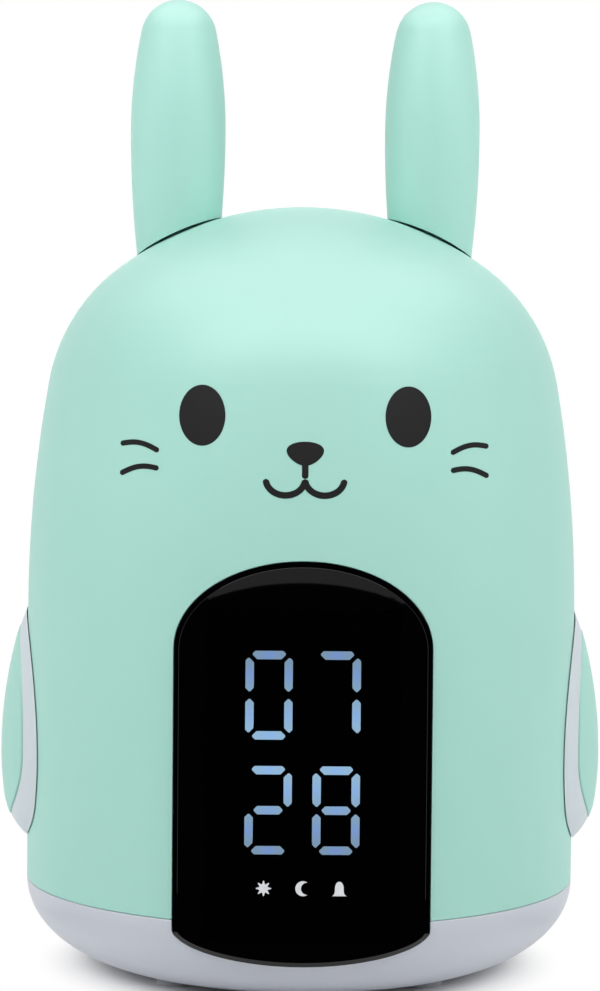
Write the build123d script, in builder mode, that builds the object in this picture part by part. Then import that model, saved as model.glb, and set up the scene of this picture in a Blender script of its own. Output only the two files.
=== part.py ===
from build123d import *
import os
from math import asin, atan2, cos, degrees, radians, sin, sqrt

os.makedirs("parts", exist_ok=True)

# A rabbit-shaped digital alarm clock, in millimetres. The clock stands on z = 0 with its axis on Z,
# its display faces -Y and its ears and arms lie along X.

# Body: a bullet of crown, shoulder and flank arcs that meet smoothly over a straight skirt
body_radius = 55.0
seam_height = 17.5
crown_height = 152.0
crown_turn = 37.0
shoulder_radius = 36.4
flank_lean = 3.45
flank_rise = 53.7
wall = 2.2
seam_gap = 0.1
seam_bevel = 0.15

# Base: an elliptical bowl on rubber feet
foot_height = 0.6
foot_radius = 4.5
foot_pocket = 1.2
foot_gap = 0.15
bowl_flat = 30.8
tongue_wall = 1.6
tongue_height = 2.5
tongue_root = 3.5
fit_gap = 0.2

# Screws that hold the base to the shell, in wells that the feet close
base_screw_circle = 33.0
base_screw_turns = (45, 135, 225, 315)
base_screw_length = 13.0
post_radius = 5.0
post_rise = 0.5
boss_radius = 4.2
boss_height = 16.0
well_radius = 3.3
screw_seat = 5.6
screw_radius = 1.5
screw_head_radius = 2.9
screw_head_height = 2.2
thread_gap = 0.05
screw_clearance = 0.25

# Window: an arched lens, let into the shell and the base and standing proud of both
window_width = 47.6
window_rise = 67.0
window_drop = 7.4
arch_rise = 16.5
sill_drop = 5.7
window_proud = 1.2
window_thickness = 2.2
window_lean_radius = 138.0
window_chamfer = 1.0
window_ledge = 2.0
glue_line = 0.1
mask_thickness = 0.5

# Display: two rows of two seven-segment digits in a reflector block
digit_width = 8.7
digit_height = 16.35
segment_width = 1.5
segment_gap = 0.62
segment_clip = 1.2
segment_rounding = 0.25
middle_gap = 0.85
column_pitch = 12.55
row_pitch = 21.3
display_rise = 31.45
shown_digits = ("07", "28")
indicator_rise = 6.3
indicator_pitch = 7.0
indicator_size = (4.6, 3.4)
indicator_margin = 1.6
guide_depth = 6.0
guide_gap = 0.06
reflector_margin = 3.6
reflector_setback = 4.2
reflector_depth = 9.2
aperture_margin = 1.6
board_thickness = 1.6
display_board_height = 66.0
display_board_margin = 1.5
board_lift = 1.8
board_gap = 0.15
guide_rib = 2.4
guide_hold = 2.6

# Ears: solid teardrops on a post that passes through the head
ear_setback = 29.5
ear_radius = 9.5
ear_rise = 41.2
ear_widest_rise = 15.0
ear_tip_radius = 7.6
ear_foot_radius = 8.3
ear_foot_drop = 23.0
ear_gap = 0.1
ear_post_radius = 3.2
ear_post_rise = 8.0
ear_pad_radius = 7.5
ear_pad_drop = 14.5
washer_radius = 6.0
washer_thickness = 1.0
ear_screw_length = 14.0

# Arms: a pebble turned about an upright axis, its upright outline four arcs in a row. A surround that
# snaps into the shell carries its edge and a push button its middle
arm_rise = 25.0
arm_crest_rise = 5.4
arm_turn_radius = 26.8
arm_upper_radius = 89.0
arm_upper_turn = 14.3
arm_tip_radius = 49.4
arm_tip_turn = 28.0
arm_lower_radius = 62.0
arm_lower_turn = 8.35
arm_heel_radius = 13.55
arm_heel_turn = 75.0
surround_drop = 0.15
shell_gap = 0.25
collar_setback = 13.5
collar_wall = 1.4
button_half_width = 16.0
button_lift = 0.5
button_above = 24.6
button_below = 13.7
button_gap = 0.3
button_lip = 0.8
button_wall = 1.8
button_rounding = 0.5
button_travel = 1.2
lip_setback = 4.4
lip_thickness = 2.0
hook_width = 8.0
hook_thickness = 1.5
hook_reach = 1.0
hook_gap = 0.5
switch_rise = 3.5
switch_size = 12.0
switch_depth = 4.0
plunger_radius = 3.4
plunger_setback = 7.8
plunger_length = 3.0
plunger_gap = 0.06
stem_radius = 3.0
small_screw_radius = 1.0
small_head_radius = 2.0
small_head_height = 1.4
small_screw_length = 5.0
small_bite = 0.6
board_boss_radius = 2.4
board_boss_height = 5.2

# Rear: a column of keys over a power inlet, on the main board
key_names = ("mode_key", "alarm_key", "up_key", "down_key")
key_radius = 4.0
key_gap = 0.3
key_rise = 64.5
key_pitch = 12.0
key_proud = 1.2
key_rounding = 0.8
key_flange = 1.2
key_flange_thickness = 1.2
key_flange_back = 0.8
key_stem_radius = 2.2
key_travel = 0.8
key_switch_size = 6.0
key_switch_depth = 3.6
key_plunger_radius = 1.75
key_plunger_setback = 7.8
key_plunger_length = 3.6
main_board_size = (36.0, 70.0)
main_board_setback = 13.4
chip_size = (12.0, 12.0)
chip_thickness = 1.6
chip_rise = 38.0
inlet_rise = 11.0
inlet_opening = (12.0, 7.0)
inlet_corner = 1.0
inlet_size = (9.0, 3.3)
inlet_setback = 2.4
inlet_wall = 0.3
inlet_depth = 6.5
tongue_size = (6.6, 0.7)
tongue_length = 5.0
cable_width = 14.0
cable_thickness = 0.5
cable_rise = 58.0
cable_sag = 12.0
plug_size = (16.0, 5.0)
plug_depth = 4.0

# Speaker, lying on a seat over the grille in the base
speaker_setback = 17.0
speaker_radius = 18.0
speaker_rim = 2.6
speaker_rim_thickness = 1.2
speaker_depth = 6.5
speaker_back_radius = 9.5
speaker_sheet = 0.8
speaker_seat_height = 4.6
magnet_radius = 8.0
magnet_thickness = 4.0
cone_thickness = 0.5
cone_depth = 4.0
cone_margin = 1.2
dust_cap_radius = 4.0
speaker_post_radius = 2.8
speaker_screw_turns = (30, 150, 270)
speaker_screw_overhang = 0.4
speaker_screw_length = 3.0
grille_hole_radius = 1.1
grille_pitch = 4.6
grille_rings = (6, 12)

# Back-up cell in a pocket under the base, with a screwed door
cell_setback = 17.0
cell_radius = 10.0
cell_thickness = 3.2
cell_gap = 0.4
cell_room = 0.6
contact_thickness = 0.3
contact_width = 6.0
door_width = 25.0
door_length = 29.0
door_thickness = 1.9
door_corner = 3.0
door_front_margin = 2.6
door_screw_inset = 3.0
door_screw_length = 4.5
door_head_radius = 2.1
door_head_height = 1.0
cell_block_margin = 1.8

SIDE = Plane(origin=(0, 0, 0), x_dir=(0, 1, 0), z_dir=(1, 0, 0))
REAR = Plane(origin=(0, 0, 0), x_dir=(-1, 0, 0), z_dir=(0, 1, 0))
BEYOND = 2 * body_radius

# Arc centres of the body and the ears, from the condition that neighbouring arcs share a tangent
flank_start = seam_height + flank_rise
shoulder_x = body_radius - flank_lean - shoulder_radius
crown_radius = shoulder_radius + shoulder_x / sin(radians(crown_turn))
crown_centre = crown_height - crown_radius
shoulder_z = crown_centre + (crown_radius - shoulder_radius) * cos(radians(crown_turn))
flank_radius = flank_lean / 2 + shoulder_radius + (shoulder_z - flank_start) ** 2 / (2 * flank_lean)
flank_x = body_radius - flank_radius
crown_end = 90 - crown_turn
shoulder_end = degrees(atan2(shoulder_z - flank_start, shoulder_x - flank_x))
ear_offset = body_radius - ear_setback
ear_top = crown_height + ear_rise
ear_widest = crown_height + ear_widest_rise
ear_tip_rise = ear_top - ear_tip_radius - ear_widest
ear_tip_step = ear_radius - ear_tip_radius
ear_flank_radius = (ear_radius**2 - ear_tip_radius**2 + ear_tip_rise**2) / (2 * ear_tip_step)
ear_tip_end = degrees(atan2(ear_tip_rise, ear_flank_radius - ear_radius))
ear_foot_step = ear_radius - ear_foot_radius
ear_lower_radius = (ear_foot_step**2 + ear_foot_drop**2) / (2 * ear_foot_step)

# Radii and heights that several pieces share
inner_radius = body_radius - wall
window_top = seam_height + window_rise
window_sill = seam_height - window_drop
window_back = body_radius + window_proud - window_thickness
seat_radius = window_back - glue_line
reflector_face = body_radius - reflector_setback
display_board_face = reflector_face - reflector_depth
display_board_edge = sqrt(inner_radius**2 - display_board_face**2)
display_board_width = 2 * (display_board_edge - display_board_margin)
display_centre = seam_height + display_rise
indicator_height = seam_height + indicator_rise
arm_height = seam_height + arm_rise
arm_crest = body_radius + arm_crest_rise
button_height = arm_height + button_lift
collar_back = body_radius - collar_setback
lip_front = body_radius - lip_setback
plunger_front = body_radius - plunger_setback
switch_height = arm_height + switch_rise
key_plunger_front = body_radius - key_plunger_setback
main_board_face = body_radius - main_board_setback
inlet_front = body_radius - inlet_setback
inlet_height = seam_height + inlet_rise
post_top = seam_height + post_rise
well_top = post_top - screw_seat
bore_growth = button_lip + button_gap
collar_growth = bore_growth + collar_wall
opening_growth = collar_growth + fit_gap
opening_top = button_height + button_above + opening_growth
opening_bottom = button_height - button_below - opening_growth
arch_spring = window_top - arch_rise
floor_top = foot_height + wall
fittings_floor = seam_height + tongue_height + fit_gap
board_bottom = fittings_floor + board_lift
chip_height = board_bottom + chip_rise
cable_height = board_bottom + cable_rise
ear_pad_height = crown_height - ear_pad_drop
ear_places = [(ear_offset, 0), (-ear_offset, 0)]
base_screw_places = [
    (base_screw_circle * cos(radians(turn)), base_screw_circle * sin(radians(turn)))
    for turn in base_screw_turns
]
skirt_back = lip_front - lip_thickness
hook_lift = (hook_reach - collar_wall) / 2
hook_places = [(0, opening_top + hook_lift), (0, opening_bottom - hook_lift)]
key_flange_inner = inner_radius - key_flange_back - key_flange_thickness
block_width = column_pitch + digit_width + 2 * reflector_margin
block_top = display_centre + (row_pitch + digit_height) / 2 + reflector_margin
block_bottom = indicator_height - indicator_size[1] / 2 - indicator_margin
speaker_rim_top = speaker_seat_height + speaker_rim_thickness
speaker_back = speaker_seat_height + speaker_depth
speaker_axis = Axis((0, -speaker_setback, 0), (0, 0, 1))
speaker_screw_circle = speaker_radius + small_screw_radius + speaker_screw_overhang
speaker_screw_places = [
    (speaker_screw_circle * cos(radians(turn)), speaker_screw_circle * sin(radians(turn)) - speaker_setback)
    for turn in speaker_screw_turns
]
door_bottom = foot_height + glue_line
door_top = door_bottom + door_thickness
door_middle = cell_setback - cell_radius - door_front_margin + door_length / 2
door_screw_place = (0, door_middle + door_length / 2 - door_screw_inset)
cell_ceiling = door_top + fit_gap + cell_thickness + cell_room
key_places = [(0, seam_height + key_rise - key_pitch * place) for place in range(len(key_names))]
board_boss_places = [
    (0, button_height - button_below - bore_growth + board_boss_radius - fit_gap),
    (0, button_height + button_above + bore_growth - board_boss_radius + fit_gap),
]
digit_places = [
    (digit, column_pitch * (column - 0.5), display_centre + row_pitch * (0.5 - row))
    for row, pair in enumerate(shown_digits)
    for column, digit in enumerate(pair)
]
indicator_places = [(indicator_pitch * place, indicator_height) for place in (-1, 0, 1)]
board_guides = [
    ((display_board_width, display_board_height), -1, display_board_face),
    (main_board_size, 1, main_board_face),
]
LIT = {"0": "abcdef", "2": "abdeg", "7": "abc", "8": "abcdefg"}


def body_solid(offset, floor):
    """The bullet-shaped body grown by an offset and cut off flat at a height."""
    with BuildPart() as solid:
        with BuildSketch(Plane.XZ):
            with BuildLine():
                CenterArc((0, crown_centre), crown_radius + offset, 90, crown_end - 90)
                CenterArc(
                    (shoulder_x, shoulder_z), shoulder_radius + offset, crown_end, shoulder_end - crown_end
                )
                CenterArc((flank_x, flank_start), flank_radius + offset, shoulder_end, -shoulder_end)
                Polyline(
                    (body_radius + offset, flank_start),
                    (body_radius + offset, floor),
                    (0, floor),
                    (0, crown_height + offset),
                )
            make_face()
        revolve(axis=Axis.Z)
    return solid.part


def head_prism(offset):
    """The head's outline seen from the front, grown by an offset and drawn out along Y."""
    with BuildPart() as prism:
        with BuildSketch(Plane.XZ):
            with BuildLine():
                CenterArc((0, crown_centre), crown_radius + offset, crown_end, 180 - 2 * crown_end)
                reach = shoulder_x + (shoulder_radius + offset)
                for sign in (1, -1):
                    start = crown_end if sign > 0 else 180 - crown_end
                    CenterArc(
                        (sign * shoulder_x, shoulder_z), shoulder_radius + offset, start, -sign * crown_end
                    )
                Polyline(
                    (reach, shoulder_z), (reach, flank_start), (-reach, flank_start), (-reach, shoulder_z)
                )
            make_face()
        extrude(amount=body_radius, both=True)
    return prism.part


def bowl_solid(offset):
    """The elliptical bowl of the base grown by an offset, closed flat at the seam."""
    across = body_radius - bowl_flat + offset
    deep = seam_height - foot_height + offset
    with BuildPart() as solid:
        with BuildSketch(Plane.XZ):
            with BuildLine():
                EllipticalCenterArc((bowl_flat, seam_height), across, deep, 270, arc_size=90)
                Polyline(
                    (bowl_flat + across, seam_height),
                    (0, seam_height),
                    (0, seam_height - deep),
                    (bowl_flat, seam_height - deep),
                )
            make_face()
        revolve(axis=Axis.Z)
    return solid.part


def window_prism(inset, back, front):
    """A prism of the arched window outline drawn in by an inset, between two depths before the axis."""
    half = window_width / 2 - inset
    sill_spring = window_sill + sill_drop
    with BuildPart() as prism:
        with BuildSketch(Plane.XZ.offset(back)):
            with BuildLine():
                EllipticalCenterArc((0, arch_spring), half, arch_rise - inset, 0, arc_size=180)
                EllipticalCenterArc((0, sill_spring), half, sill_drop - inset, 180, arc_size=180)
                Line((half, arch_spring), (half, sill_spring))
                Line((-half, arch_spring), (-half, sill_spring))
            make_face()
        extrude(amount=front - back)
    return prism.part


def window_skin():
    """The front of the window as a turned form, upright and then leaning back over the arch."""
    radius = body_radius + window_proud
    turn = degrees(asin(2 * arch_rise / window_lean_radius))
    with BuildPart() as skin:
        with BuildSketch(Plane.XZ):
            with BuildLine():
                lean = CenterArc((radius - window_lean_radius, arch_spring), window_lean_radius, 0, turn)
                top = lean @ 1
                Polyline((radius, arch_spring), (radius, 0), (0, 0), (0, top.Y), top)
            make_face()
        revolve(axis=Axis.Z)
    return skin.part


def egg_prism(growth, inner, outer):
    """A prism of the button's outline, two half ellipses, grown, between two distances from the axis."""
    half = button_half_width + growth
    with BuildPart() as prism:
        with BuildSketch(SIDE.offset(inner)):
            with BuildLine():
                EllipticalCenterArc((0, button_height), half, button_above + growth, 0, arc_size=180)
                EllipticalCenterArc((0, button_height), half, button_below + growth, 180, arc_size=180)
            make_face()
        extrude(amount=outer - inner)
    return prism.part


def arm_pebble(offset):
    """The pebble of the right arm: from its crest an arc and a sharper arc each way, grown by an offset."""
    turn_axis = arm_crest - arm_turn_radius
    ends = []
    with BuildPart() as pebble:
        with BuildSketch(Plane.XZ):
            with BuildLine():
                for side, long_radius, long_turn, short_radius, short_turn in (
                    (1, arm_upper_radius, arm_upper_turn, arm_tip_radius, arm_tip_turn),
                    (-1, arm_lower_radius, arm_lower_turn, arm_heel_radius, arm_heel_turn),
                ):
                    long_centre = (arm_crest - long_radius, arm_height)
                    CenterArc(long_centre, long_radius + offset, 0, side * long_turn)
                    apart = long_radius - short_radius
                    short_centre = (
                        long_centre[0] + apart * cos(radians(long_turn)),
                        long_centre[1] + side * apart * sin(radians(long_turn)),
                    )
                    sweep_turn = side * (short_turn - long_turn)
                    short = CenterArc(short_centre, short_radius + offset, side * long_turn, sweep_turn)
                    ends.append(short @ 1)
                Polyline(ends[0], (turn_axis, ends[0].Y), (turn_axis, ends[1].Y), ends[1])
            make_face()
        revolve(axis=Axis((turn_axis, 0, 0), (0, 0, 1)))
    return pebble.part


def segment_points(name):
    """Corner points of one segment about the digit's centre, mitred towards its neighbours."""
    right = digit_width / 2
    upper = digit_height / 2
    inner = right - segment_width
    under = upper - segment_width
    middle = segment_width / 2
    tip = right - middle - middle_gap
    clip = segment_clip
    gap = segment_gap
    top = [
        (clip + gap - right, upper),
        (right - gap - clip, upper),
        (right - gap - clip / 2, upper - clip / 2),
        (inner - gap, under),
        (gap - inner, under),
        (clip / 2 + gap - right, upper - clip / 2),
    ]
    side = [
        (right, upper - gap - clip),
        (right, middle + gap),
        (right - middle, gap),
        (inner, middle + gap),
        (inner, under - gap),
        (right - clip / 2, upper - gap - clip / 2),
    ]
    bar = [
        (-tip, 0),
        (middle - tip, middle),
        (tip - middle, middle),
        (tip, 0),
        (tip - middle, -middle),
        (middle - tip, -middle),
    ]
    shape = {"a": top, "d": top, "g": bar}.get(name, side)
    flip_x = -1 if name in "ef" else 1
    flip_y = -1 if name in "cde" else 1
    return [(flip_x * across, flip_y * up) for across, up in shape]


def segment_outline(name, growth):
    """One segment's outline with softened corners, grown by a clearance."""
    with BuildSketch() as outline:
        with BuildLine():
            Polyline(*segment_points(name), close=True)
        make_face()
        fillet(outline.vertices(), segment_rounding)
        if growth:
            offset(amount=growth, kind=Kind.ARC)
    return outline.sketch


def draw_segments(outlines, states):
    """Draws into the open sketch the segments of every digit whose lit state is among those wanted."""
    for digit, x, z in digit_places:
        for name, outline in outlines.items():
            if (name in LIT[digit]) in states:
                with Locations((x, z)):
                    add(outline)


def push_switch(plane, places, face, size, depth, bore_radius, bore_floor):
    """Square switch housings standing on a board face, each bored for its plunger."""
    with BuildPart() as housing:
        with BuildSketch(plane.offset(face)):
            with Locations(*places):
                Rectangle(size, size)
        extrude(amount=depth)
        with BuildSketch(plane.offset(bore_floor)):
            with Locations(*places):
                Circle(bore_radius)
        extrude(amount=face + depth - bore_floor, mode=Mode.SUBTRACT)
    return housing.part


def screws(plane, places, radius, length, head_radius, head_height):
    """Pan-headed screws whose shanks run along a plane's normal and whose heads lie behind the plane."""
    with BuildPart() as group:
        with BuildSketch(plane):
            with Locations(*places):
                Circle(radius)
        extrude(amount=length)
        with BuildSketch(plane):
            with Locations(*places):
                Circle(head_radius)
        extrude(amount=-head_height)
    return group.part


def save(part, name):
    """Labels a finished piece and writes it."""
    part.label = name
    export_step(part, f"parts/{name}.step")


# Forms that shape more than one piece
body_outer = body_solid(0, seam_height + seam_gap)
body_hollow = body_solid(-wall, 0)
arm_opening = egg_prism(opening_growth, collar_back, BEYOND)
button_room = egg_prism(-button_wall, skirt_back, BEYOND)
segment_guides = {name: segment_outline(name, 0) for name in "abcdefg"}
segment_wells = {name: segment_outline(name, guide_gap) for name in "abcdefg"}

# Room that the window takes out of the shell and the base, down to the ledge it is glued to
with BuildPart() as window_recess:
    add(window_prism(-fit_gap, 0, BEYOND))
    Cylinder(seat_radius, 2 * crown_height, mode=Mode.SUBTRACT)

# Fittings inside the shell: ear pads, screw bosses on webs, and guides that hold the two boards
with BuildPart() as shell_fittings:
    with BuildSketch(Plane.XY.offset(ear_pad_height)):
        with Locations(*ear_places):
            Circle(ear_pad_radius)
    extrude(amount=crown_height - ear_pad_height)
    with BuildSketch(Plane.XY.offset(post_top)):
        with Locations(*base_screw_places):
            Circle(boss_radius)
    extrude(amount=boss_height)
    with BuildSketch(Plane.XY.offset(fittings_floor)):
        web_middle = (base_screw_circle + body_radius) / 2
        with PolarLocations(web_middle, len(base_screw_turns), start_angle=base_screw_turns[0]):
            Rectangle(body_radius - base_screw_circle, boss_radius)
    extrude(amount=post_top + boss_height - fittings_floor)
    for (width, height), side, face in board_guides:
        rib_x = (width + guide_rib - guide_hold) / 2
        rib_inner = face - board_thickness - guide_rib
        with BuildSketch(Plane.XY.offset(fittings_floor)):
            rib_y = side * (rib_inner + body_radius) / 2
            with Locations((rib_x, rib_y), (-rib_x, rib_y)):
                Rectangle(guide_rib + guide_hold, body_radius - rib_inner)
        extrude(amount=board_lift + height + guide_rib)
        with BuildSketch(Plane.XY.offset(fittings_floor)):
            with Locations((0, side * (face - board_thickness / 2))):
                Rectangle(width + 2 * board_gap, board_thickness + 2 * board_gap)
        extrude(amount=board_lift + height + board_gap, mode=Mode.SUBTRACT)
    add(body_outer, mode=Mode.INTERSECT)

with BuildPart() as body_shell:
    add(body_outer)
    chamfer(body_shell.edges().group_by(Axis.Z)[0].filter_by(GeomType.CIRCLE), seam_bevel)
    add(body_hollow, mode=Mode.SUBTRACT)
    add(shell_fittings.part)
    add(window_recess.part, mode=Mode.SUBTRACT)
    add(window_prism(window_ledge, reflector_face - guide_depth, BEYOND), mode=Mode.SUBTRACT)
    add(arm_opening, mode=Mode.SUBTRACT)
    mirror(arm_opening, about=Plane.YZ, mode=Mode.SUBTRACT)
    with BuildSketch(Plane.XY.offset(ear_pad_height)):
        with Locations(*ear_places):
            Circle(ear_post_radius + fit_gap)
    extrude(amount=crown_height - ear_pad_height, mode=Mode.SUBTRACT)
    with BuildSketch(Plane.XY.offset(post_top)):
        with Locations(*base_screw_places):
            Circle(screw_radius + thread_gap)
    extrude(amount=boss_height - wall, mode=Mode.SUBTRACT)
    with BuildSketch(REAR.offset(key_plunger_front)):
        with Locations(*key_places):
            Circle(key_radius + key_gap)
        with Locations((0, inlet_height)):
            RectangleRounded(*inlet_opening, inlet_corner)
    extrude(amount=BEYOND - key_plunger_front, mode=Mode.SUBTRACT)
save(body_shell.part, "body_shell")

# Seat that backs the foot of the window where the bowl curves away behind it
with BuildPart() as window_seat:
    add(window_prism(glue_line, 0, BEYOND))
    Cylinder(seat_radius, 2 * crown_height, mode=Mode.INTERSECT)
    Cylinder(inner_radius - tongue_wall, 2 * crown_height, mode=Mode.SUBTRACT)
    split(bisect_by=Plane.XY.offset(seam_height), keep=Keep.BOTTOM)

# Fittings inside the base: seam tongue, screw posts, speaker seat and posts, and the cell block
with BuildPart() as base_fittings:
    with BuildSketch(Plane.XY.offset(seam_height - tongue_root)):
        Circle(inner_radius - fit_gap)
        Circle(inner_radius - fit_gap - tongue_wall, mode=Mode.SUBTRACT)
    extrude(amount=tongue_root + tongue_height)
    with BuildSketch(Plane.XY.offset(foot_height)):
        with Locations(*base_screw_places):
            Circle(post_radius)
    extrude(amount=post_top - foot_height)
    with BuildSketch(Plane.XY.offset(foot_height)):
        with Locations(*speaker_screw_places):
            Circle(speaker_post_radius)
    extrude(amount=speaker_rim_top - foot_height)
    with BuildSketch(Plane.XY.offset(speaker_seat_height)):
        with Locations((0, -speaker_setback)):
            Circle(speaker_radius + fit_gap)
    extrude(amount=speaker_rim_top - speaker_seat_height, mode=Mode.SUBTRACT)
    with BuildSketch(Plane.XY.offset(foot_height)):
        with Locations((0, -speaker_setback)):
            Circle(speaker_radius)
            Circle(speaker_radius - speaker_rim, mode=Mode.SUBTRACT)
    extrude(amount=speaker_seat_height - foot_height)
    with BuildSketch(Plane.XY.offset(foot_height)):
        with Locations((0, door_middle)):
            RectangleRounded(
                door_width + 2 * cell_block_margin, door_length + 2 * cell_block_margin, door_corner
            )
    extrude(amount=cell_ceiling + wall - foot_height)

# The bowl's outer form with room above it for the fittings that rise past the seam
with BuildPart() as base_limit:
    add(bowl_solid(0))
    with BuildSketch(Plane.XY.offset(seam_height)):
        Circle(inner_radius)
    extrude(amount=boss_height)

with BuildPart() as bowl_wall:
    add(bowl_solid(0))
    chamfer(bowl_wall.edges().group_by(Axis.Z)[-1], seam_bevel)
    add(bowl_solid(-wall), mode=Mode.SUBTRACT)

with BuildPart() as base_bowl:
    add(base_fittings.part)
    add(base_limit.part, mode=Mode.INTERSECT)
    add(bowl_wall.part)
    add(window_seat.part)
    add(window_recess.part, mode=Mode.SUBTRACT)
    with BuildSketch():
        with Locations(*base_screw_places):
            Circle(well_radius)
    extrude(amount=well_top, mode=Mode.SUBTRACT)
    with BuildSketch():
        with Locations(*base_screw_places):
            Circle(screw_radius + screw_clearance)
    extrude(amount=post_top, mode=Mode.SUBTRACT)
    with BuildSketch():
        with Locations(*base_screw_places):
            Circle(foot_radius + foot_gap)
    extrude(amount=foot_height + foot_pocket, mode=Mode.SUBTRACT)
    with BuildSketch():
        with Locations((0, -speaker_setback)):
            Circle(grille_hole_radius)
            for ring, count in enumerate(grille_rings, start=1):
                with PolarLocations(grille_pitch * ring, count):
                    Circle(grille_hole_radius)
    extrude(amount=speaker_seat_height, mode=Mode.SUBTRACT)
    with BuildSketch(Plane.XY.offset(floor_top - small_bite)):
        with Locations(*speaker_screw_places):
            Circle(small_screw_radius + thread_gap)
    extrude(amount=speaker_rim_top - floor_top + small_bite, mode=Mode.SUBTRACT)
    with BuildSketch():
        with Locations((0, door_middle)):
            RectangleRounded(door_width + 2 * fit_gap, door_length + 2 * fit_gap, door_corner)
    extrude(amount=door_top + glue_line, mode=Mode.SUBTRACT)
    with BuildSketch():
        with Locations((0, cell_setback)):
            Circle(cell_radius + cell_gap)
    extrude(amount=cell_ceiling, mode=Mode.SUBTRACT)
    with BuildSketch():
        with Locations(door_screw_place):
            Circle(small_screw_radius + thread_gap)
    extrude(amount=cell_ceiling, mode=Mode.SUBTRACT)
save(base_bowl.part, "base_bowl")

with BuildPart() as rubber_feet:
    with BuildSketch():
        with Locations(*base_screw_places):
            Circle(foot_radius)
    extrude(amount=foot_height + foot_pocket - glue_line)
save(rubber_feet.part, "rubber_feet")

base_screws = screws(
    Plane.XY.offset(well_top),
    base_screw_places,
    screw_radius,
    base_screw_length,
    screw_head_radius,
    screw_head_height,
)
save(base_screws, "base_screws")

with BuildPart() as display_window:
    add(window_prism(0, 0, BEYOND))
    add(window_skin(), mode=Mode.INTERSECT)
    Cylinder(window_back, 2 * crown_height, mode=Mode.SUBTRACT)
    front = display_window.faces().sort_by(Axis.Y)[:2].edges()
    chamfer(front - front.filter_by_position(Axis.Z, arch_spring, arch_spring), window_chamfer)
save(display_window.part, "display_window")

with BuildPart() as window_mask:
    add(window_prism(window_ledge + fit_gap, 0, BEYOND))
    Cylinder(seat_radius, 2 * crown_height, mode=Mode.INTERSECT)
    Cylinder(seat_radius - mask_thickness, 2 * crown_height, mode=Mode.SUBTRACT)
    split(bisect_by=Plane.XY.offset(seam_height + fit_gap), keep=Keep.TOP)
    with BuildSketch(Plane.XZ):
        with Locations((0, (block_bottom + block_top) / 2)):
            Rectangle(
                block_width - 2 * aperture_margin, block_top - block_bottom - 2 * aperture_margin
            )
    extrude(amount=BEYOND, mode=Mode.SUBTRACT)
save(window_mask.part, "window_mask")

with BuildPart() as display_reflector:
    with BuildSketch(Plane.XZ.offset(display_board_face)):
        with Locations((0, (block_bottom + block_top) / 2)):
            Rectangle(block_width, block_top - block_bottom)
    extrude(amount=reflector_face - display_board_face)
    with BuildSketch(Plane.XZ.offset(display_board_face)):
        draw_segments(segment_wells, (True, False))
        with Locations(*indicator_places):
            Rectangle(indicator_size[0] + 2 * guide_gap, indicator_size[1] + 2 * guide_gap)
    extrude(amount=reflector_face - display_board_face, mode=Mode.SUBTRACT)
save(display_reflector.part, "display_reflector")

for name, states in (("lit_segments", (True,)), ("dark_segments", (False,))):
    with BuildPart() as segments:
        with BuildSketch(Plane.XZ.offset(reflector_face - guide_depth)):
            draw_segments(segment_guides, states)
        extrude(amount=guide_depth)
    save(segments.part, name)

with BuildPart() as indicator_guides:
    with BuildSketch(Plane.XZ.offset(reflector_face - guide_depth)):
        with Locations(*indicator_places):
            Rectangle(*indicator_size)
    extrude(amount=guide_depth)
save(indicator_guides.part, "indicator_guides")

for name, ((width, height), side, face) in zip(("display_board", "main_board"), board_guides):
    with BuildPart() as board:
        with BuildSketch(Plane.XY.offset(board_bottom)):
            with Locations((0, side * (face - board_thickness / 2))):
                Rectangle(width, board_thickness)
        extrude(amount=height)
    save(board.part, name)

# The ear is turned about its post, and its foot is cut to the head's outline
with BuildPart() as right_ear:
    with BuildSketch(Plane.XZ):
        with BuildLine():
            CenterArc((ear_offset, ear_top - ear_tip_radius), ear_tip_radius, 90, ear_tip_end - 90)
            flank_centre = (ear_offset + ear_radius - ear_flank_radius, ear_widest)
            CenterArc(flank_centre, ear_flank_radius, ear_tip_end, -ear_tip_end)
            lower_centre = (ear_offset + ear_radius - ear_lower_radius, ear_widest)
            lower_turn = degrees(asin((ear_foot_drop + ear_radius) / ear_lower_radius))
            foot = CenterArc(lower_centre, ear_lower_radius, 0, -lower_turn) @ 1
            Polyline(foot, (ear_offset, foot.Y), (ear_offset, ear_top))
        make_face()
    revolve(axis=Axis((ear_offset, 0, 0), (0, 0, 1)))
    add(head_prism(ear_gap), mode=Mode.SUBTRACT)
    with BuildSketch(Plane.XY.offset(ear_pad_height + fit_gap)):
        with Locations(ear_places[0]):
            Circle(ear_post_radius)
    extrude(amount=ear_pad_drop + ear_post_rise)
    with BuildSketch(Plane.XY.offset(ear_pad_height + fit_gap)):
        with Locations(ear_places[0]):
            Circle(screw_radius + thread_gap)
    extrude(amount=ear_screw_length, mode=Mode.SUBTRACT)
save(right_ear.part, "right_ear")

with BuildPart() as left_ear:
    mirror(right_ear.part, about=Plane.YZ)
save(left_ear.part, "left_ear")

with BuildPart() as ear_washers:
    with BuildSketch(Plane.XY.offset(ear_pad_height - washer_thickness)):
        with Locations(*ear_places):
            Circle(washer_radius)
            Circle(screw_radius + screw_clearance, mode=Mode.SUBTRACT)
    extrude(amount=washer_thickness)
save(ear_washers.part, "ear_washers")

ear_screws = screws(
    Plane.XY.offset(ear_pad_height - washer_thickness),
    ear_places,
    screw_radius,
    ear_screw_length,
    screw_head_radius,
    screw_head_height,
)
save(ear_screws, "ear_screws")

# Collar of the arm surround, which passes through the shell behind the visible flange
with BuildPart() as arm_collar:
    add(egg_prism(collar_growth, collar_back, BEYOND))
    add(arm_pebble(-collar_wall / 2), mode=Mode.INTERSECT)

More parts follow.
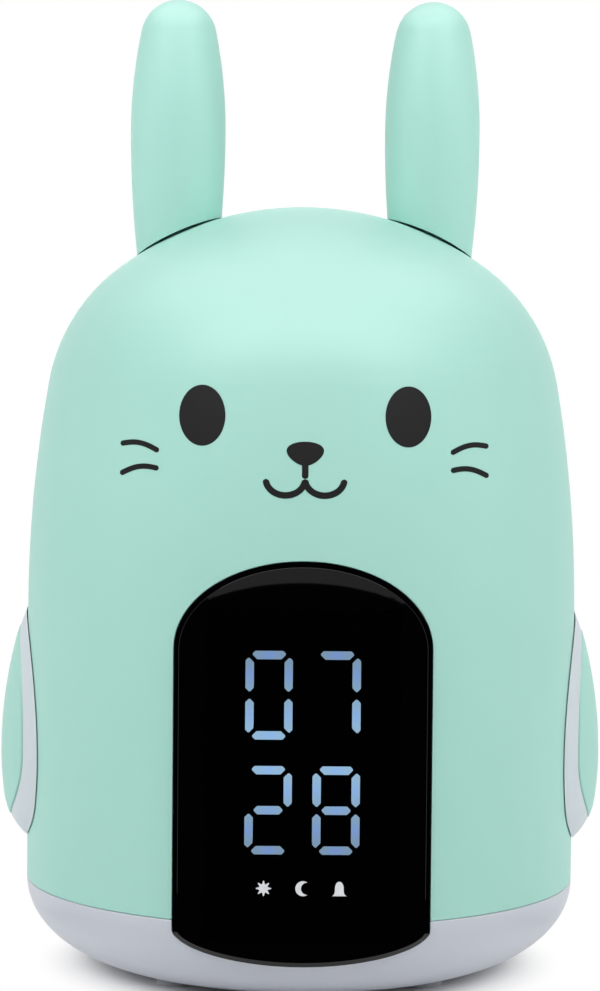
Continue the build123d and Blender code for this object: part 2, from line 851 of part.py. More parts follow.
with BuildPart() as right_arm_bezel:
    add(arm_pebble(-surround_drop))
    add(body_solid(shell_gap, 0), mode=Mode.SUBTRACT)
    add(arm_collar.part)
    with BuildSketch(SIDE.offset(inner_radius - hook_gap - hook_thickness)):
        with Locations(*hook_places):
            Rectangle(hook_width, hook_reach + collar_wall)
    extrude(amount=hook_thickness)
    add(egg_prism(button_gap, collar_back, BEYOND), mode=Mode.SUBTRACT)
    add(egg_prism(bore_growth, collar_back, lip_front + fit_gap), mode=Mode.SUBTRACT)
    with BuildSketch(SIDE.offset(collar_back)):
        with Locations(*board_boss_places):
            Circle(board_boss_radius)
    extrude(amount=board_boss_height)
    with BuildSketch(SIDE.offset(collar_back)):
        with Locations(*board_boss_places):
            Circle(small_screw_radius + thread_gap)
    extrude(amount=small_screw_length - board_thickness + fit_gap, mode=Mode.SUBTRACT)

with BuildPart() as button_hollow:
    add(button_room)
    add(arm_pebble(-button_wall), mode=Mode.INTERSECT)

with BuildPart() as button_ring:
    add(egg_prism(button_lip, skirt_back, lip_front))
    add(button_room, mode=Mode.SUBTRACT)

with BuildPart() as right_arm_button:
    add(egg_prism(0, skirt_back, BEYOND))
    add(arm_pebble(0), mode=Mode.INTERSECT)
    outer_edges = right_arm_button.edges().filter_by_position(Axis.X, lip_front, BEYOND)
    rim = outer_edges.filter_by(Axis.X, reverse=True).filter_by(GeomType.CIRCLE, reverse=True)
    fillet(rim, button_rounding)
    add(button_hollow.part, mode=Mode.SUBTRACT)
    add(button_ring.part)
    with BuildSketch(SIDE.offset(plunger_front)):
        with Locations((0, switch_height)):
            Circle(stem_radius)
    extrude(amount=arm_crest - button_wall / 2 - plunger_front)

with BuildPart() as right_switch_plunger:
    with BuildSketch(SIDE.offset(plunger_front - plunger_length)):
        with Locations((0, switch_height)):
            Circle(plunger_radius)
    extrude(amount=plunger_length)

with BuildPart() as right_switch_board:
    add(egg_prism(collar_growth, collar_back - board_thickness, collar_back))
    with BuildSketch(SIDE.offset(collar_back - board_thickness)):
        with Locations(*board_boss_places):
            Circle(small_screw_radius + fit_gap)
    extrude(amount=board_thickness, mode=Mode.SUBTRACT)

for piece, name in (
    (right_arm_bezel.part, "arm_bezel"),
    (right_arm_button.part, "arm_button"),
    (right_switch_plunger.part, "switch_plunger"),
    (right_switch_board.part, "switch_board"),
):
    save(piece, f"right_{name}")
    with BuildPart() as left_piece:
        mirror(piece, about=Plane.YZ)
    save(left_piece.part, f"left_{name}")

right_arm_switch = push_switch(
    SIDE,
    [(0, switch_height)],
    collar_back,
    switch_size,
    switch_depth,
    plunger_radius + plunger_gap,
    plunger_front - plunger_length - button_travel - fit_gap,
)
right_board_screws = screws(
    SIDE.offset(collar_back - board_thickness),
    board_boss_places,
    small_screw_radius,
    small_screw_length,
    small_head_radius,
    small_head_height,
)
for piece, name in ((right_arm_switch, "arm_switches"), (right_board_screws, "switch_board_screws")):
    with BuildPart() as both_sides:
        add(piece)
        mirror(piece, about=Plane.YZ)
    save(both_sides.part, name)

for name, place in zip(key_names, key_places):
    with BuildPart() as key:
        with BuildSketch(REAR.offset(key_flange_inner)):
            with Locations(place):
                Circle(key_radius)
        extrude(amount=body_radius + key_proud - key_flange_inner)
        fillet(key.faces().sort_by(Axis.Y)[-1].edges(), key_rounding)
        with BuildSketch(REAR.offset(key_flange_inner)):
            with Locations(place):
                Circle(key_radius + key_flange)
        extrude(amount=key_flange_thickness)
        with BuildSketch(REAR.offset(key_plunger_front)):
            with Locations(place):
                Circle(key_stem_radius)
        extrude(amount=key_flange_inner - key_plunger_front)
    save(key.part, name)
    with BuildPart() as key_plunger:
        with BuildSketch(REAR.offset(key_plunger_front - key_plunger_length)):
            with Locations(place):
                Circle(key_plunger_radius)
        extrude(amount=key_plunger_length)
    save(key_plunger.part, name.replace("key", "plunger"))

key_switches = push_switch(
    REAR,
    key_places,
    main_board_face,
    key_switch_size,
    key_switch_depth,
    key_plunger_radius + plunger_gap,
    key_plunger_front - key_plunger_length - key_travel - fit_gap,
)
save(key_switches, "key_switches")

with BuildPart() as control_chip:
    with BuildSketch(REAR.offset(main_board_face - board_thickness)):
        with Locations((0, chip_height)):
            Rectangle(*chip_size)
    extrude(amount=-chip_thickness)
save(control_chip.part, "control_chip")

with BuildPart() as power_inlet:
    with BuildSketch(REAR.offset(main_board_face)):
        with Locations((0, inlet_height)):
            SlotOverall(*inlet_size)
    extrude(amount=inlet_front - main_board_face)
    with BuildSketch(REAR.offset(inlet_front)):
        with Locations((0, inlet_height)):
            SlotOverall(inlet_size[0] - 2 * inlet_wall, inlet_size[1] - 2 * inlet_wall)
    extrude(amount=-inlet_depth, mode=Mode.SUBTRACT)
    with BuildSketch(REAR.offset(inlet_front - inlet_depth)):
        with Locations((0, inlet_height)):
            Rectangle(*tongue_size)
    extrude(amount=tongue_length)
save(power_inlet.part, "power_inlet")

with BuildPart() as cable_plugs:
    for side, face in ((-1, display_board_face), (1, main_board_face)):
        with BuildSketch(REAR.offset(side * (face - board_thickness))):
            with Locations((0, cable_height)):
                Rectangle(*plug_size)
        extrude(amount=-side * plug_depth)
save(cable_plugs.part, "cable_plugs")

with BuildPart() as ribbon_cable:
    with BuildSketch(SIDE):
        with BuildLine():
            start = plug_depth + board_thickness - display_board_face
            end = main_board_face - board_thickness - plug_depth
            for level in (cable_height, cable_height + cable_thickness):
                ThreePointArc((start, level), ((start + end) / 2, level - cable_sag), (end, level))
            Line((start, cable_height), (start, cable_height + cable_thickness))
            Line((end, cable_height), (end, cable_height + cable_thickness))
        make_face()
    extrude(amount=cable_width / 2, both=True)
save(ribbon_cable.part, "ribbon_cable")

with BuildPart() as speaker_frame:
    with BuildSketch(Plane.XZ.offset(speaker_setback)):
        with BuildLine():
            Polyline(
                (speaker_radius - speaker_rim, speaker_seat_height),
                (speaker_radius, speaker_seat_height),
                (speaker_radius, speaker_rim_top),
                (speaker_radius - speaker_rim + speaker_sheet, speaker_rim_top),
                (speaker_back_radius, speaker_back),
                (dust_cap_radius, speaker_back),
                (dust_cap_radius, speaker_back - speaker_sheet),
                (speaker_back_radius - speaker_sheet, speaker_back - speaker_sheet),
                close=True,
            )
        make_face()
    revolve(axis=speaker_axis)
save(speaker_frame.part, "speaker_frame")

with BuildPart() as speaker_magnet:
    with BuildSketch(Plane.XY.offset(speaker_back)):
        with Locations((0, -speaker_setback)):
            Circle(magnet_radius)
    extrude(amount=magnet_thickness)
save(speaker_magnet.part, "speaker_magnet")

with BuildPart() as speaker_cone:
    cone_edge = speaker_radius - speaker_rim - cone_margin
    with BuildSketch(Plane.XZ.offset(speaker_setback)):
        with BuildLine():
            Polyline(
                (cone_edge, speaker_seat_height + fit_gap),
                (cone_edge, speaker_seat_height + fit_gap + cone_thickness),
                (dust_cap_radius, speaker_seat_height + cone_depth + cone_thickness),
                (0, speaker_seat_height + cone_depth / 2 + cone_thickness),
                (0, speaker_seat_height + cone_depth / 2),
                (dust_cap_radius, speaker_seat_height + cone_depth),
                close=True,
            )
        make_face()
    revolve(axis=speaker_axis)
save(speaker_cone.part, "speaker_cone")

speaker_screws = screws(
    Plane(origin=(0, 0, speaker_rim_top), x_dir=(1, 0, 0), z_dir=(0, 0, -1)),
    [(x, -y) for x, y in speaker_screw_places],
    small_screw_radius,
    speaker_screw_length,
    small_head_radius,
    small_head_height,
)
save(speaker_screws, "speaker_screws")

with BuildPart() as backup_cell:
    with BuildSketch(Plane.XY.offset(door_top + fit_gap)):
        with Locations((0, cell_setback)):
            Circle(cell_radius)
    extrude(amount=cell_thickness)
save(backup_cell.part, "backup_cell")

with BuildPart() as cell_contacts:
    with BuildSketch(Plane.XY.offset(cell_ceiling)):
        with Locations((0, cell_setback)):
            Rectangle(contact_width, 2 * cell_radius)
    extrude(amount=-contact_thickness)
    with BuildSketch(Plane.XY.offset(door_top + fit_gap)):
        with Locations((0, cell_setback)):
            Circle(cell_radius + cell_gap)
            Circle(cell_radius + cell_gap - contact_thickness, mode=Mode.SUBTRACT)
        with Locations((-cell_radius, cell_setback)):
            Rectangle(contact_width, contact_width, mode=Mode.INTERSECT)
    extrude(amount=cell_thickness)
save(cell_contacts.part, "cell_contacts")

with BuildPart() as battery_door:
    with BuildSketch(Plane.XY.offset(door_bottom)):
        with Locations((0, door_middle)):
            RectangleRounded(door_width, door_length, door_corner)
    extrude(amount=door_thickness)
    with BuildSketch(Plane.XY.offset(door_bottom)):
        with Locations(door_screw_place):
            Circle(door_head_radius + fit_gap)
    extrude(amount=door_head_height, mode=Mode.SUBTRACT)
    with BuildSketch(Plane.XY.offset(door_bottom)):
        with Locations(door_screw_place):
            Circle(small_screw_radius + fit_gap)
    extrude(amount=door_thickness, mode=Mode.SUBTRACT)
save(battery_door.part, "battery_door")

door_screw = screws(
    Plane.XY.offset(door_bottom + door_head_height),
    [door_screw_place],
    small_screw_radius,
    door_screw_length,
    door_head_radius,
    door_head_height,
)
save(door_screw, "door_screw")
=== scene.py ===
import bpy
import numpy as np
from math import pi, radians
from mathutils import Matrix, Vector


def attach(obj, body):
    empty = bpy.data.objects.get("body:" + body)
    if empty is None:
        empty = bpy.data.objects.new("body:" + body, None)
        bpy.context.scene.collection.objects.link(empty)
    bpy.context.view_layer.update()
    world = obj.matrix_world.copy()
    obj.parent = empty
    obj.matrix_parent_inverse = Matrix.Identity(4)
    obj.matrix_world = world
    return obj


# Looks of a rabbit-shaped digital alarm clock. Lengths are in millimetres until a mesh is made.
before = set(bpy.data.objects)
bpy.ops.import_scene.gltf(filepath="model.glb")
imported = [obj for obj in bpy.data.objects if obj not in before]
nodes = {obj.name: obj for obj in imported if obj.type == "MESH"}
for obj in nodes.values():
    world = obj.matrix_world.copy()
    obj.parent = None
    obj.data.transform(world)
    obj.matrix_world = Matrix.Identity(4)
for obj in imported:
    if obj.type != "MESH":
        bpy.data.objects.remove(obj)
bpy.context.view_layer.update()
MM = 0.001

# The body's turned profile: a straight skirt, a flank arc that leans in and a shoulder arc over it
BODY_RADIUS = 55.0
CROWN_HEIGHT = 152.0
CROWN_TURN = radians(37.0)
SHOULDER_RADIUS = 36.4
FLANK_LEAN = 3.45
FLANK_START = 71.2

# The display: digits about this point, on the front of the light guides
DIGIT_CENTRE = 48.95
COLUMN_PITCH = 12.55
ROW_PITCH = 21.3
DIGIT_SIZE = (8.7, 16.35)
STROKE = 1.5
GUIDE_FACE = 50.8
INDICATOR_HEIGHT = 23.8
INDICATOR_PITCH = 7.0
DISPLAY_MIDDLE = 45.3
DISPLAY_HALF = (15.0, 27.5)

# Hot spots of the lit segments: their reach, their squeeze across a segment and the brighter band
HOT_REACH = 3.6
HOT_SQUEEZE = 2.0
BRIGHT_BAND = (18.0, 2.0)

# The smoked window's front skin: its radius, and the arc that leans it back above a height
WINDOW_RADIUS = 56.2
WINDOW_LEAN_START = 68.0
WINDOW_LEAN_RADIUS = 138.0

# The window's paint: how much further out it starts in front, the depths between, its soft edge
PAINT_STEP = 3.0
PAINT_DEPTHS = (-1.4, -0.8)
PAINT_FADE = 0.2

# The window's polish ends just behind the front skin, and comes back weaker at the lower edge
POLISH_DEPTHS = (-0.07, -0.03)
LOWER_EDGE = (18.0, 14.0)
LOWER_POLISH = 0.75

# Share of light that each face of the smoked window stops, and the glow that makes up for it
SMOKE = 0.75
GLOW = 15.9

# Patterns of the hidden pieces: drawn lines in metal, copper runs of a board, wires of the ribbon
DRAWN_STRETCH = (0.05, 1.0, 1.0)
DRAWN_SCALE = 5200.0
RUN_SCALE = 260.0
RUN_WIDTH = 0.012
WIRE_PITCH = 1.27

WHITE = (1.0, 1.0, 1.0, 1.0)
BLACK = (0.0, 0.0, 0.0, 1.0)


def tint(red, green, blue):
    """A linear colour with full alpha from the 0 to 255 numbers of a screen colour."""
    share = np.array((red, green, blue)) / 255
    linear = np.where(share <= 0.04045, share / 12.92, ((share + 0.055) / 1.055) ** 2.4)
    return (*linear.tolist(), 1.0)


class Wire:
    """An output in a node tree. Arithmetic on it adds Math nodes."""

    def __init__(self, wiring, socket):
        self.wiring = wiring
        self.socket = socket

    def math(self, operation, *values):
        settings = {"operation": operation}
        return self.wiring.node("ShaderNodeMath", settings, dict(enumerate(values)))

    def __add__(self, other):
        return self.math("ADD", self, other)

    def __sub__(self, other):
        return self.math("SUBTRACT", self, other)

    def __rsub__(self, other):
        return self.math("SUBTRACT", other, self)

    def __mul__(self, other):
        return self.math("MULTIPLY", self, other)

    def __truediv__(self, other):
        return self.math("DIVIDE", self, other)

    def __abs__(self):
        return self.math("ABSOLUTE", self)

    __radd__ = __add__
    __rmul__ = __mul__

    def least(self, other):
        return self.math("MINIMUM", self, other)

    def most(self, other):
        return self.math("MAXIMUM", self, other)

    def root(self):
        return self.math("SQRT", self)

    def fraction(self):
        return self.math("FRACT", self)

    def between(self, low, high):
        """A low number where the wire is 0, rising evenly to a high number where it is 1."""
        return low + self * (high - low)

    def swing(self, width):
        """Half a width below nought where the wire is 0, to half a width above where it is 1."""
        return (self - 0.5) * width

    def step_up(self, start, end):
        """Smooth rise from 0 at start to 1 at end."""
        settings = {"interpolation_type": "SMOOTHSTEP"}
        sockets = {0: self, 1: start, 2: end, 3: 0.0, 4: 1.0}
        return self.wiring.node("ShaderNodeMapRange", settings, sockets)


class Wiring:
    """A node tree: numbers sit on a node's own sockets, wires bring what varies."""

    def __init__(self, tree):
        self.tree = tree

    def feed(self, node, sockets):
        for key, value in sockets.items():
            if isinstance(value, Wire):
                self.tree.links.new(value.socket, node.inputs[key])
            else:
                node.inputs[key].default_value = value

    def node(self, kind, settings, sockets, output=0):
        """Adds one node, sets its settings, feeds its sockets, returns one output or several."""
        node = self.tree.nodes.new(kind)
        for key, value in settings.items():
            setattr(node, key, value)
        self.feed(node, sockets)
        if isinstance(output, tuple):
            return [Wire(self, node.outputs[key]) for key in output]
        return Wire(self, node.outputs[output])

    def direct_ray(self):
        """1 for a ray from the camera, a reflection or a clear piece, and 0 for one that lights."""
        rays = ("Is Camera Ray", "Is Glossy Ray", "Is Transmission Ray")
        camera_ray, glossy_ray, clear_ray = self.node("ShaderNodeLightPath", {}, {}, rays)
        return (camera_ray + glossy_ray + clear_ray).least(1.0)


class Finish(Wiring):
    """A material on a Principled shader, patterned by Object coordinates."""

    def __init__(self, name, sockets):
        self.material = bpy.data.materials.new(name)
        self.material.use_nodes = True
        super().__init__(self.material.node_tree)
        self.shader = self.tree.nodes["Principled BSDF"]
        self.place = self.node("ShaderNodeTexCoord", {}, {}, "Object")
        self.feed(self.shader, sockets)

    def varied(self, sockets):
        """Feeds the shader what changes over the surface, and returns the material."""
        self.feed(self.shader, sockets)
        return self.material

    def noise(self, size, detail=2.0):
        """Cloudy noise from 0 to 1 with features of about one size, in millimetres."""
        sockets = {"Vector": self.place, "Scale": 1 / (size * MM), "Detail": detail}
        return self.node("ShaderNodeTexNoise", {}, sockets)

    def mix(self, share, first, second):
        """The first colour turning into the second as a share goes from 0 to 1."""
        sockets = {0: share, 6: first, 7: second}
        return self.node("ShaderNodeMix", {"data_type": "RGBA"}, sockets, 2)

    def bump(self, height, depth, strength):
        """A normal bent by a height from 0 to 1 that stands for a depth in millimetres."""
        sockets = {"Height": height, "Distance": depth * MM, "Strength": strength}
        return self.node("ShaderNodeBump", {}, sockets, "Normal")

    def axes(self):
        """Object coordinates in millimetres."""
        split = self.node("ShaderNodeSeparateXYZ", {}, {0: self.place}, ("X", "Y", "Z"))
        return [axis * (1 / MM) for axis in split]


def moulded_plastic(name, colour, shade, roughness):
    """Injection-moulded plastic: fine spark-eroded grain, faint flow clouds, a slightly uneven
    gloss."""
    finish = Finish(name, {"IOR": 1.46})
    clouds = finish.noise(size=26.0)
    grain = finish.noise(size=0.45, detail=3.0)
    return finish.varied(
        {
            "Base Color": finish.mix(clouds, colour, shade),
            "Roughness": roughness + grain.swing(0.10) + clouds.swing(0.05),
            "Normal": finish.bump(grain, depth=0.012, strength=0.5),
        }
    )


def smoked_lens(name):
    """Smoked acrylic, painted black round its border and see-through over the display. Its front
    skin and its lower edge are polished, with faint wipe marks; the ground bevel round the rest
    is matte."""
    sockets = {
        "Base Color": tint(2, 2, 3),
        "Specular IOR Level": 0.0,
        "Coat IOR": 1.3,
        "Coat Roughness": 0.03,
    }
    finish = Finish(name, sockets)
    x, y, z = finish.axes()
    rise = (z - WINDOW_LEAN_START).most(0.0)
    lean = WINDOW_LEAN_RADIUS - (WINDOW_LEAN_RADIUS**2 - rise * rise).root()
    proud = (x * x + y * y).root() + lean - WINDOW_RADIUS
    step = proud.step_up(*PAINT_DEPTHS) * PAINT_STEP
    across = (abs(x) - step - DISPLAY_HALF[0]).step_up(PAINT_FADE, -PAINT_FADE)
    up = (abs(z - DISPLAY_MIDDLE) - step - DISPLAY_HALF[1]).step_up(PAINT_FADE, -PAINT_FADE)
    border = 1 - across * up
    polish = proud.step_up(*POLISH_DEPTHS).most(z.step_up(*LOWER_EDGE) * LOWER_POLISH)
    wipe = finish.noise(size=9.0, detail=4.0)
    return finish.varied(
        {
            "Alpha": border.between(SMOKE, 1.0),
            "Coat Weight": polish * wipe.between(0.94, 1.0),
        }
    )


def segment_light(name):
    """Light guides over small lamps: a blue hot spot at each segment's middle that pales to its
    ends, brighter towards the middle of the display."""
    sockets = {"Base Color": tint(60, 66, 74), "Roughness": 0.5, "Emission Strength": GLOW}
    finish = Finish(name, sockets)
    x, _, z = finish.axes()
    across = abs(abs(x) - COLUMN_PITCH / 2)
    up = abs(abs(z - DIGIT_CENTRE) - ROW_PITCH / 2)
    reach = (DIGIT_SIZE[1] - STROKE) / 2
    side = (DIGIT_SIZE[0] - STROKE) / 2
    flat = across + abs(up - reach).least(up) * HOT_SQUEEZE
    upright = abs(up - reach / 2) + abs(across - side) * HOT_SQUEEZE
    hot = flat.least(upright).step_up(HOT_REACH, 0.0)
    dim = finish.mix(hot, tint(123, 151, 173), tint(118, 148, 202))
    bright = finish.mix(hot, tint(148, 185, 213), tint(143, 183, 230))
    middle = abs(z - DIGIT_CENTRE).step_up(*BRIGHT_BAND)
    return finish.varied({"Emission Color": finish.mix(middle, dim, bright)})


def mark_light(name):
    """A mark lit from behind, a little uneven across it."""
    sockets = {"Base Color": tint(90, 90, 90), "Roughness": 0.5, "Emission Strength": GLOW}
    finish = Finish(name, sockets)
    patch = finish.noise(size=1.2)
    colour = finish.mix(patch, tint(196, 199, 203), tint(226, 228, 232))
    return finish.varied({"Emission Color": colour})


def black_moulding(name, colour, shade, shine):
    """Black moulded plastic inside the clock, with a coarse grain."""
    finish = Finish(name, {"Specular IOR Level": shine})
    grain = finish.noise(size=0.6, detail=3.0)
    return finish.varied(
        {
            "Base Color": finish.mix(grain, colour, shade),
            "Roughness": grain.between(0.5, 0.7),
            "Normal": finish.bump(grain, depth=0.02, strength=0.5),
        }
    )


def printed_ink(name):
    """Pad-printed ink: flat black with a faint sheen and the grain of the plastic under it."""
    finish = Finish(name, {"Specular IOR Level": 0.2})
    grain = finish.noise(size=0.45, detail=3.0)
    return finish.varied(
        {
            "Base Color": finish.mix(grain, tint(9, 9, 10), tint(14, 14, 14)),
            "Roughness": grain.between(0.42, 0.54),
            "Normal": finish.bump(grain, depth=0.010, strength=0.5),
        }
    )


def plated_metal(name, colour, shade, roughness):
    """Plated metal with fine drawn lines along X and slight staining."""
    finish = Finish(name, {"Metallic": 1.0})
    drawn = {"Vector": finish.place, "Scale": DRAWN_STRETCH}
    stretch = finish.node("ShaderNodeMapping", {}, drawn)
    fine = {"Vector": stretch, "Scale": DRAWN_SCALE, "Detail": 2.0}
    lines = finish.node("ShaderNodeTexNoise", {}, fine)
    stain = finish.noise(size=4.0)
    return finish.varied(
        {
            "Base Color": finish.mix(stain, colour, shade),
            "Roughness": roughness + lines.swing(0.2),
            "Normal": finish.bump(lines, depth=0.004, strength=0.6),
        }
    )


def circuit_board(name):
    """Green coated laminate: copper runs show in patches as paler bands under a glossy coating."""
    finish = Finish(name, {"IOR": 1.5})
    bands = {"Vector": finish.place, "Scale": RUN_SCALE, "Mortar Size": RUN_WIDTH}
    runs = finish.node("ShaderNodeTexBrick", {}, bands, "Fac")
    patches = finish.noise(size=7.0)
    copper = runs * patches.step_up(0.4, 0.6)
    return finish.varied(
        {
            "Base Color": finish.mix(copper, tint(18, 74, 44), tint(52, 118, 70)),
            "Roughness": patches.between(0.32, 0.44),
            "Normal": finish.bump(runs, depth=0.03, strength=0.5),
        }
    )


def ribbon_sheath(name):
    """Flat cable: parallel wires show as ribs across its width, with painted shade darkening the
    grooves between them.
    """
    finish = Finish(name, {})
    x, _, _ = finish.axes()
    ribs = abs((x / WIRE_PITCH).fraction() - 0.5) * 2.0
    return finish.varied(
        {
            # Painted shade: the colour darkens in the grooves between the wires
            "Base Color": finish.mix(ribs, tint(188, 188, 192), tint(160, 160, 166)),
            "Roughness": ribs.between(0.5, 0.6),
            "Normal": finish.bump(1 - ribs, depth=0.2, strength=0.6),
        }
    )


def soft_rubber(name):
    """Foot rubber: matte, dusty grey with a fine grain."""
    finish = Finish(name, {})
    dust = finish.noise(size=2.0, detail=4.0)
    grain = finish.noise(size=0.3)
    return finish.varied(
        {
            "Base Color": finish.mix(dust, tint(162, 164, 168), tint(176, 178, 182)),
            "Roughness": dust.between(0.8, 0.9),
            "Normal": finish.bump(grain, depth=0.03, strength=0.6),
        }
    )


def pressed_paper(name):
    """Speaker cone: black pressed paper with a fibrous surface."""
    finish = Finish(name, {})
    fibres = finish.noise(size=0.5, detail=5.0)
    return finish.varied(
        {
            "Base Color": finish.mix(fibres, tint(24, 24, 25), tint(44, 44, 44)),
            "Roughness": fibres.between(0.75, 0.90),
            "Normal": finish.bump(fibres, depth=0.06, strength=0.7),
        }
    )


# Two shades of each moulded colour
MINT = (tint(159, 209, 197), tint(163, 212, 200))
PALE = (tint(194, 198, 207), tint(199, 203, 211))
# The ears' mint is the body's mint painted lighter, as painted light on the ears
EAR_MINT_PAINTED_LIGHTER = (tint(164, 215, 203), tint(168, 218, 206))
# The arm surrounds' colour is the pale plastic painted lighter, as painted light on the arms
SURROUND_PAINTED_LIGHTER = (tint(198, 208, 213), tint(202, 211, 216))

# Finishes of the CAD pieces
finishes = {
    moulded_plastic("mint_plastic", *MINT, roughness=0.46): (
        "body_shell left_arm_button right_arm_button"
    ),
    moulded_plastic("ear_plastic_painted_lighter", *EAR_MINT_PAINTED_LIGHTER, roughness=0.46): "left_ear right_ear",
    moulded_plastic("pale_plastic", *PALE, roughness=0.42): (
        "base_bowl battery_door mode_key alarm_key up_key down_key"
    ),
    moulded_plastic("surround_plastic_painted_lighter", *SURROUND_PAINTED_LIGHTER, roughness=0.42): (
        "left_arm_bezel right_arm_bezel"
    ),
    smoked_lens("window_lens"): "display_window",
    black_moulding("display_black", tint(1, 1, 1), tint(3, 3, 3), shine=0.0): (
        "window_mask display_reflector"
    ),
    black_moulding("black_plastic", tint(4, 4, 5), tint(9, 9, 10), shine=0.2): (
        "control_chip cable_plugs arm_switches key_switches left_switch_plunger "
        "right_switch_plunger mode_plunger alarm_plunger up_plunger down_plunger"
    ),
    segment_light("lit_segment"): "lit_segments",
    black_moulding("dark_segment", tint(3, 3, 4), tint(6, 6, 7), shine=0.0): (
        "dark_segments indicator_guides"
    ),
    circuit_board("circuit_board"): "display_board main_board left_switch_board right_switch_board",
    ribbon_sheath("ribbon"): "ribbon_cable",
    plated_metal("screw_steel", tint(176, 178, 182), tint(150, 152, 156), roughness=0.34): (
        "base_screws ear_screws ear_washers switch_board_screws speaker_screws door_screw"
    ),
    plated_metal("bright_metal", tint(198, 198, 200), tint(180, 180, 184), roughness=0.22): (
        "backup_cell cell_contacts power_inlet"
    ),
    plated_metal("speaker_metal", tint(58, 58, 60), tint(44, 44, 46), roughness=0.5): (
        "speaker_frame speaker_magnet"
    ),
    pressed_paper("speaker_paper"): "speaker_cone",
    soft_rubber("foot_rubber"): "rubber_feet",
}
for material, names in finishes.items():
    for name in names.split():
        nodes[name].material_slots[0].material = material


def grid_mesh(name, points, material):
    """A mesh of quads from a grid of points, rows by columns by xyz, in millimetres."""
    rows, columns = points.shape[:2]
    index = np.arange(rows * columns).reshape(rows, columns)
    corners = (index[:-1, :-1], index[1:, :-1], index[1:, 1:], index[:-1, 1:])
    quads = np.stack(corners, axis=-1).reshape(-1, 4)
    mesh = bpy.data.meshes.new(name)
    mesh.from_pydata((points.reshape(-1, 3) * MM).tolist(), [], quads.tolist())
    mesh.polygons.foreach_set("use_smooth", np.ones(len(quads), bool))
    mesh.materials.append(material)
    piece = bpy.data.objects.new(name, mesh)
    bpy.context.scene.collection.objects.link(piece)
    return piece


def skin_radius(height):
    """Distance from the axis to the body's skin. The flank arc starts upright at FLANK_START and
    leans in by FLANK_LEAN; the shoulder arc takes over where the two share a tangent."""
    shoulder_x = BODY_RADIUS - FLANK_LEAN - SHOULDER_RADIUS
    shoulder_z = CROWN_HEIGHT - SHOULDER_RADIUS - shoulder_x * np.tan(CROWN_TURN / 2)
    rise = shoulder_z - FLANK_START
    flank_radius = FLANK_LEAN / 2 + SHOULDER_RADIUS + rise**2 / (2 * FLANK_LEAN)
    change = FLANK_START + rise * flank_radius / (flank_radius - SHOULDER_RADIUS)
    flank = BODY_RADIUS - flank_radius + np.sqrt(flank_radius**2 - (height - FLANK_START) ** 2)
    shoulder_drop = np.maximum(SHOULDER_RADIUS**2 - (height - shoulder_z) ** 2, 0)
    return np.where(height < change, flank, shoulder_x + np.sqrt(shoulder_drop))


def disc_grid(steps):
    """A square grid bent into a unit disc: each coordinate shrinks by the root of one minus half
    the other's square, so that the square's edges land on the circle."""
    side = np.linspace(-1, 1, steps)
    u, v = np.meshgrid(side, side)
    return u * np.sqrt(1 - v**2 / 2), v * np.sqrt(1 - u**2 / 2)


# Face print: places and half sizes across and up, as seen from the front
INK = printed_ink("printed_ink")
INK_LIFT = 0.03
EYE_PLACE = (19.0, 111.0)
EYE_HALF = (4.3, 5.6)
NOSE_HEIGHT = 104.2
NOSE_HALF = (3.3, 2.2)
NOSE_TAPER = 0.28
MUZZLE_TOP = 102.6
LIP_HEIGHT = 99.6
LIP_HALF = (3.6, 3.0)
LIP_INK = 0.6

# Whiskers: where they start across, their length, bow and half width, and each row's height and fan
WHISKER_START = 27.0
WHISKER_LENGTH = 7.5
WHISKER_BOW = 0.9
WHISKER_INK = 0.5
WHISKER_ROWS = ((1, 104.2, 1.2), (2, 101.0, -1.2))


def printed(name, across, up):
    """Ink on the body: front-view positions are thrown back along Y onto the skin, with a hair of
    lift."""
    radius = skin_radius(up) + INK_LIFT
    depth = -np.sqrt(radius**2 - across**2)
    piece = grid_mesh(name, np.stack((across, depth, up), axis=-1).transpose(1, 0, 2), INK)
    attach(piece, "housing")


def stroke(name, across, up, half_width):
    """An ink stroke: a line of points widened both ways along its normal, with ends rounded as
    half circles."""
    along = np.stack((np.gradient(across), np.gradient(up)))
    along = along / np.hypot(*along)
    run = np.concatenate(([0], np.cumsum(np.hypot(np.diff(across), np.diff(up)))))
    near_end = np.minimum(np.minimum(run, run[-1] - run), half_width)
    width = np.sqrt(np.maximum(half_width**2 - (half_width - near_end) ** 2, 1e-6))
    spread = np.linspace(-1, 1, 5)[:, None] * width
    printed(name, across - along[1] * spread, up + along[0] * spread)


# Oval eyes, a rounded nose, a two-curve mouth and whiskers
disc_x, disc_z = disc_grid(33)
lip_turn = np.linspace(0, pi, 41)
lip_x = LIP_HALF[0] * (1 - np.cos(lip_turn))
lip_z = LIP_HEIGHT - LIP_HALF[1] * np.sin(lip_turn)
whisker_run = np.linspace(0, 1, 31)
whisker_x = WHISKER_START + WHISKER_LENGTH * whisker_run
whisker_bow = WHISKER_BOW * np.sin(pi * whisker_run)
for side, hand in ((-1, "left"), (1, "right")):
    eye_x = side * EYE_PLACE[0] + EYE_HALF[0] * disc_x
    printed(f"{hand}_eye", eye_x, EYE_PLACE[1] + EYE_HALF[1] * disc_z)
    stroke(f"{hand}_lip", side * lip_x, lip_z, LIP_INK)
    for row, height, fan in WHISKER_ROWS:
        whisker_z = height + fan * whisker_run + whisker_bow
        stroke(f"{hand}_whisker_{row}", side * whisker_x, whisker_z, WHISKER_INK)
nose_x = NOSE_HALF[0] * disc_x * (1 + NOSE_TAPER * disc_z)
printed("nose", nose_x, NOSE_HEIGHT + NOSE_HALF[1] * disc_z)
stroke("muzzle_line", np.zeros(21), np.linspace(MUZZLE_TOP, LIP_HEIGHT, 21), LIP_INK)

# Lit marks under the digits, on the front of the indicator guides
LIT = mark_light("lit_mark")
MARK_LIFT = 0.05

